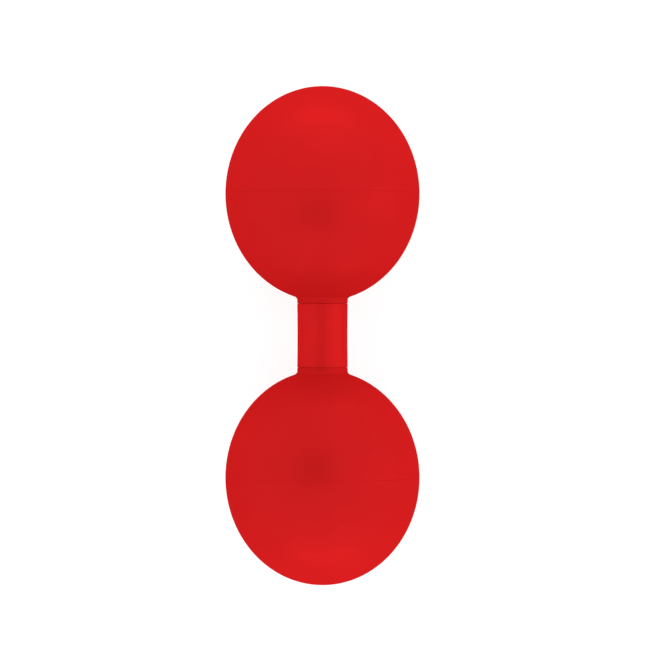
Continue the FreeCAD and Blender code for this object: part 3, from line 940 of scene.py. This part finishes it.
@dataclass
class Axle:
    """The stepped shaft: a land for the clutch, and a right-hand thread at each end."""

    land_step: float = 1.0 * MM
    pitch: float = 1.25 * MM
    depth: float = 0.62 * MM
    crest: float = 0.16
    root: float = 0.10
    runout: float = 1.4 * MM
    chamfer: float = 0.8 * MM
    land_edge: float = 0.2 * MM
    drill_radius: float = 1.3 * MM
    drill_mouth: float = 0.12 * MM
    drill_floor: float = 0.25 * MM
    drill_bend: float = 0.15 * MM
    drill_depth: float = 1.9 * MM
    face_support: float = 0.05 * MM
    step_root: float = 0.1 * MM
    blend: float = 0.1 * MM
    plain_start: float = 2.0 * MM
    plain_rows: int = 12
    fine_rows: int = 34
    hidden_rows: int = 18
    tip_rows: int = 16
    columns: int = 150

    def sunk(self, place: np.ndarray, angle: np.ndarray, start: float) -> np.ndarray:
        """How far the thread's groove lies below the shaft, as a share of its depth.

        The phase runs once per pitch along the axle and once per turn round it, which makes
        a right-hand helix. It is flat at the crest and at the root, eases from one to the
        other, and fades in over the run-out.

        Args:
            place: Places along the axle, as a column.
            angle: Angles round it, as a row.
            start: Where the thread begins.

        Returns:
            The share at each place and angle.
        """
        phase = np.mod(place / self.pitch + angle / (2 * math.pi), 1.0)
        from_crest = np.minimum(phase, 1 - phase)
        flank = 0.5 - self.crest / 2 - self.root / 2
        share = eased((from_crest - self.crest / 2) / flank)
        return share * eased((place - start) / self.runout)

    def lower(self, one: np.ndarray, other: np.ndarray) -> np.ndarray:
        """The lower of two surfaces, with a small round where they cross."""
        mix = np.clip(0.5 + 0.5 * (other - one) / self.blend, 0.0, 1.0)
        return other * (1 - mix) + one * mix - self.blend * mix * (1 - mix)

    def build(self, bench: Bench) -> None:
        """Makes the shaft from the middle of one end to the middle of the other.

        Half a turn about Z carries an angle to half a turn less that angle, so the front
        half's columns are taken in that order to meet the rear half's.
        """
        _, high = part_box("axle_shaft")
        hub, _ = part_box("rear_washer")
        bearing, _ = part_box("rear_bearing_inner_ring")
        end = high.y
        shaft = high.z - self.land_step
        land = high.z
        nylon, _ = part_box("rear_nut_insert")
        hidden_turns = (nylon.y - hub.y) / self.pitch
        seen_turns = (end - self.chamfer - nylon.y) / self.pitch
        thread = np.concatenate((
            np.linspace(hub.y, nylon.y, int(hidden_turns * self.hidden_rows))[:-1],
            np.linspace(nylon.y, end - self.chamfer, int(seen_turns * self.fine_rows)),
        ))
        tip = np.linspace(end - self.chamfer, end, self.tip_rows)[1:]
        places = np.concatenate((
            (bearing.y + self.land_edge,),
            np.linspace(bearing.y + self.plain_start, hub.y, self.plain_rows)[:-1],
            thread,
            tip,
        ))
        cone = shaft - (places - (end - self.chamfer))
        angle = np.linspace(0, 2 * math.pi, self.columns, endpoint=False)[None, :]
        share = self.sunk(places[:, None], angle, hub.y)
        reach = self.lower(cone[:, None], shaft - self.depth * share)
        nose = shaft - self.chamfer
        drill = rounded([
            (nose, end, 0.0),
            (nose - self.face_support, end, 0.0),
            (self.drill_radius, end, self.drill_mouth),
            (self.drill_floor, end - self.drill_depth, self.drill_bend),
            (0.0, end - self.drill_depth, 0.0),
        ])[1:]
        step = rounded([
            (land, 0.0, 0.0),
            (land, bearing.y, self.land_edge),
            (shaft, bearing.y, self.step_root),
            (shaft, bearing.y + self.land_edge, 0.0),
        ])[1:-1]
        body = np.stack((
            reach * np.cos(angle), places[:, None] + 0 * angle, reach * np.sin(angle)
        ), axis=2)
        rear = np.concatenate(
            (turned(step, self.columns), body, turned(drill, self.columns)), axis=0
        )
        opposite = (self.columns // 2 - np.arange(self.columns)) % self.columns
        front = Half.FRONT.placed(rear)[:, opposite]
        grid = np.concatenate((front[:0:-1], rear), axis=0)
        bench.make("threaded_axle", "axle_shaft", skin(grid, along=False), Shade.FLANK)


@dataclass
class Fasteners:
    """The washer, spring washer and nut that clamp each cup to the axle."""

    slip: float = 0.02 * MM
    flats: float = 13.0 * MM
    nut_slope: float = math.tan(math.radians(30))
    nut_edge: float = 0.08 * MM
    corner_cap: float = 0.985
    split: float = 1.0 * MM
    split_edge: float = 0.15 * MM
    slant: float = math.tan(math.radians(25))
    die_roll: float = 0.3 * MM
    burr_edge: float = 0.06 * MM
    collar_step: float = 0.4 * MM
    collar_wall: float = 0.55 * MM
    lead_in: float = 0.4 * MM
    nut_bend: float = 0.12 * MM
    crisp: float = 0.02 * MM
    near: float = 0.06 * MM
    bend_step: float = 0.03 * MM
    flat_columns: int = 21
    corner_columns: int = 6
    roll_rows: int = 12
    columns: int = 192

    def washer(self, node: str, bore: float) -> Patch:
        """A stamped washer: rolled over on the side it was punched from, crisp behind."""
        low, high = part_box(node)
        corners = [
            (bore, low.y, self.burr_edge),
            (high.z, low.y, self.burr_edge),
            (high.z, high.y, self.die_roll),
            (bore, high.y, self.die_roll),
        ]
        middle = (bore + high.z) / 2
        path = rounded([(middle, low.y, 0.0), *corners[1:], corners[0], (middle, low.y, 0.0)])
        return skin(turned(path[:-1], self.columns), along=True)

    def lock_washer(self, node: str, bore: float) -> Patch:
        """A split ring, pressed flat, whose slanting ends face each other across the gap.

        The section is carried round from one end to the other. Its angle also grows with the
        height in the section, which slants both ends alike.
        """
        low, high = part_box(node)
        outside = max(high.z, high.x)
        middle, height = (bore + outside) / 2, (low.y + high.y) / 2
        section = rounded([
            (middle, low.y, 0.0),
            (outside, low.y, self.split_edge),
            (outside, high.y, self.split_edge),
            (bore, high.y, self.split_edge),
            (bore, low.y, self.split_edge),
            (middle, low.y, 0.0),
        ])[:-1]
        reach, place = section[None, :, 0], section[None, :, 1]
        gap = self.split / 2 / math.cos(math.atan(self.slant))
        start = np.linspace(0, 1, self.columns)[:, None]
        lean = (place - height) * self.slant
        first = (gap + lean) / reach
        last = 2 * math.pi - (gap - lean) / reach
        angle = first + (last - first) * start
        ring = np.stack((
            reach * np.cos(angle), place + 0 * angle, reach * np.sin(angle)
        ), axis=2)
        caps = [
            np.repeat(ring[row].mean(axis=0)[None, None], ring.shape[1], axis=1)
            for row in (0, -1)
        ]
        return skin(np.concatenate((caps[0], ring, caps[1]), axis=0), along=False)

    def nut(self, node: str, bore: float) -> Patch:
        """The nut: a hexagon whose corners a cone takes off, and the collar rolled inwards.

        At each angle the chamfer meets the flat as far along as the hexagon reaches beyond
        its flats there, times the chamfer's slope, so that rows of faces follow the edge.
        """
        low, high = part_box(node)
        collar = self.flats / 2 - self.collar_step
        hexagon_top = high.y - self.collar_height(node)
        cap = self.flats / math.sqrt(3) * self.corner_cap
        sixth = math.pi / 3
        edge = math.acos(self.flats / 2 / cap)
        flat = np.linspace(-edge, edge, self.flat_columns)
        corner = np.linspace(edge, sixth - edge, self.corner_columns)[1:-1]
        angle = (sixth / 2 + np.concatenate((flat, corner))[None, :]
                 + sixth * np.arange(6)[:, None]).ravel()
        outside = np.minimum(hexagon_radius(angle, self.flats), cap)
        drop = (outside - self.flats / 2) * self.nut_slope + self.nut_edge
        face = np.full_like(angle, self.flats / 2 - self.nut_edge)

        def level(reach: float, place: float) -> tuple[np.ndarray, np.ndarray]:
            """One round row of the nut's surface: its radius and place at every angle."""
            return np.full_like(angle, reach), np.full_like(angle, place)

        inside = collar - self.collar_wall
        rows = [
            level(bore, low.y + self.lead_in),
            level(bore + self.lead_in, low.y),
            level((bore + self.flats / 2) / 2, low.y),
            (face, np.full_like(angle, low.y)),
            (outside - self.crisp, low.y + drop - self.crisp),
            (outside, low.y + drop + self.near),
            (outside, np.full_like(angle, (low.y + hexagon_top) / 2)),
            (outside, hexagon_top - drop - self.near),
            (outside - self.crisp, hexagon_top - drop + self.crisp),
            (face, np.full_like(angle, hexagon_top)),
            level(collar + self.nut_bend, hexagon_top),
            level(collar + self.bend_step, hexagon_top + self.bend_step),
            level(collar, hexagon_top + self.nut_bend),
        ]
        middle, bend = collar - self.collar_wall / 2, self.collar_wall / 2
        for turn in np.linspace(0, math.pi, self.roll_rows):
            rows.append(level(
                middle + bend * math.cos(turn), high.y - bend + bend * math.sin(turn)
            ))
        rows += [level(inside, hexagon_top + self.crisp)]
        rows += [level(inside - self.crisp, hexagon_top)]
        rows += [level(bore + self.crisp, hexagon_top), level(bore, hexagon_top - self.crisp)]
        reach = np.stack([r for r, _ in rows])
        place = np.stack([p for _, p in rows])
        grid = np.stack((reach * np.cos(angle), place, reach * np.sin(angle)), axis=2)
        return skin(grid, along=True)

    def collar_height(self, node: str) -> float:
        """How far the nut's collar stands above its hexagon: the insert's and half a wall."""
        insert_low, insert_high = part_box(node.replace("locknut", "nut_insert"))
        return insert_high.y - insert_low.y + self.collar_wall / 2

    def build(self, bench: Bench) -> None:
        """Makes both ends' washers and nuts from the rear ones."""
        _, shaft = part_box("axle_shaft")
        bore = shaft.z - Axle.land_step + self.slip
        bench.make_both([
            ("flat_washer", "washer", self.washer("rear_washer", bore), Shade.ROUND),
            ("spring_washer", "lock_washer", self.lock_washer("rear_lock_washer", bore),
             Shade.ROUND),
            ("locking_nut", "locknut", self.nut("rear_locknut", bore), Shade.CRISP),
        ])


# --- studio ------------------------------------------------------------------------------
@dataclass
class Studio:
    """A pale floor in a light tent, seen from straight above."""

    view_width: float = 0.272
    camera_height: float = 1.5
    sensor: float = 0.036
    nearest: float = 0.05
    furthest: float = 20.0
    beside: float = 3.1 * MM
    beyond: float = 2.3 * MM
    floor_reach: float = 6.0
    floor_white: float = 0.42
    floor_glow: float = 0.74
    floor_lift: float = 0.42
    floor_roughness: float = 0.7
    floor_specular: float = 0.2
    card_height: float = 0.205
    card_half: tuple[float, float] = (0.07, 0.06)
    card_shift: tuple[float, float] = (-0.02, -0.015)
    card_grey: float = 0.02
    box_distance: float = 0.55
    box_height: float = 0.03
    box_size: tuple[float, float] = (0.5, 0.25)
    box_power: float = 0.4
    side_power: float = 0.2
    side_height: float = 0.16
    tent_glow: float = 1.08

    def floor(self) -> None:
        """The floor that the bulbs lie on."""
        low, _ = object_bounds()
        reach = self.floor_reach
        mesh = bpy.data.meshes.new("floor")
        corners = [(-reach, -reach, low.z), (reach, -reach, low.z)]
        corners += [(reach, reach, low.z), (-reach, reach, low.z)]
        mesh.from_pydata(corners, [], [(0, 1, 2, 3)])
        desk = Desk("pale_floor")
        desk.set(
            Base_Color=(self.floor_white, self.floor_white, self.floor_white, 1.0),
            Roughness=self.floor_roughness,
            Specular_IOR_Level=self.floor_specular,
            Emission_Color=(1.0, 1.0, 1.0, 1.0),
        )
        seen = desk.tree.nodes.new("ShaderNodeLightPath").outputs["Is Camera Ray"]
        desk.link(
            desk.ranged(seen, WHOLE, (self.floor_lift, self.floor_glow)),
            desk.surface.inputs["Emission Strength"],
        )
        mesh.materials.append(desk.material)
        floor = bpy.data.objects.new("floor", mesh)
        bpy.context.scene.collection.objects.link(floor)
        floor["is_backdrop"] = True

    def card(self) -> None:
        """A dark card over the neck, which dims the light on the bulbs' tops softly."""
        mesh = bpy.data.meshes.new("dark_card")
        (wide, deep), (east, north) = self.card_half, self.card_shift
        height = self.card_height
        corners = [(east - wide, north - deep, height), (east + wide, north - deep, height)]
        corners += [(east + wide, north + deep, height), (east - wide, north + deep, height)]
        mesh.from_pydata(corners, [], [(3, 2, 1, 0)])
        desk = Desk("dark_card")
        grey = (self.card_grey, self.card_grey, self.card_grey, 1.0)
        desk.set(Base_Color=grey, Roughness=1.0, Specular_IOR_Level=0.0)
        mesh.materials.append(desk.material)
        card = bpy.data.objects.new("dark_card", mesh)
        card.visible_camera = False
        bpy.context.scene.collection.objects.link(card)
        card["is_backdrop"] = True

    def softbox(self, name: str, place: Vector, size: tuple[float, float], power: float) -> None:
        """A flat soft light that looks at the origin and doesn't show itself."""
        light = bpy.data.lights.new(name, "AREA")
        light.shape = "RECTANGLE"
        light.size, light.size_y = size
        light.energy = power
        lamp = bpy.data.objects.new(name, light)
        lamp.location = place
        lamp.rotation_euler = (-place).to_track_quat("-Z", "Z").to_euler()
        lamp.visible_camera = False
        bpy.context.scene.collection.objects.link(lamp)

    def world(self) -> None:
        """The even white light of the tent."""
        world = bpy.data.worlds.new("light_tent")
        world.use_nodes = True
        background = world.node_tree.nodes["Background"]
        background.inputs["Color"].default_value = (1.0, 1.0, 1.0, 1.0)
        background.inputs["Strength"].default_value = self.tent_glow
        bpy.context.scene.world = world

    def camera(self) -> None:
        """A long lens straight above, with the rear bulb towards the top of the frame."""
        lens = bpy.data.cameras.new("camera")
        lens.sensor_width = self.sensor * 1000
        lens.lens = 1000 * self.sensor * self.camera_height / self.view_width
        lens.clip_start, lens.clip_end = self.nearest, self.furthest
        camera = bpy.data.objects.new("camera", lens)
        camera.location = (self.beside, self.beyond, self.camera_height)
        bpy.context.scene.collection.objects.link(camera)
        bpy.context.scene.camera = camera

    def build(self) -> None:
        """Sets up the floor, the lights and the camera."""
        self.floor()
        self.card()
        self.world()
        for name, side in (("rear_softbox", 1.0), ("front_softbox", -1.0)):
            place = Vector((0.0, self.box_distance * side, self.box_height))
            self.softbox(name, place, self.box_size, self.box_power)
        place = Vector((self.box_distance, 0.0, self.side_height))
        self.softbox("side_softbox", place, self.box_size, self.side_power)
        self.camera()
        view = bpy.context.scene.view_settings
        view.view_transform = "Standard"
        view.look = "None"


def main() -> None:
    """Builds the diabolo's looks and the studio round it."""
    logging.basicConfig(level=logging.INFO, format="%(message)s")
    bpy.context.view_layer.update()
    bench = Bench(Finishes())
    Shells().build(bench)
    Neck().build(bench)
    Axle().build(bench)
    Fasteners().build(bench)
    bench.finishes.dress_frame(bench.replaced)
    Studio().build()


if __name__ == "__main__":
    main()
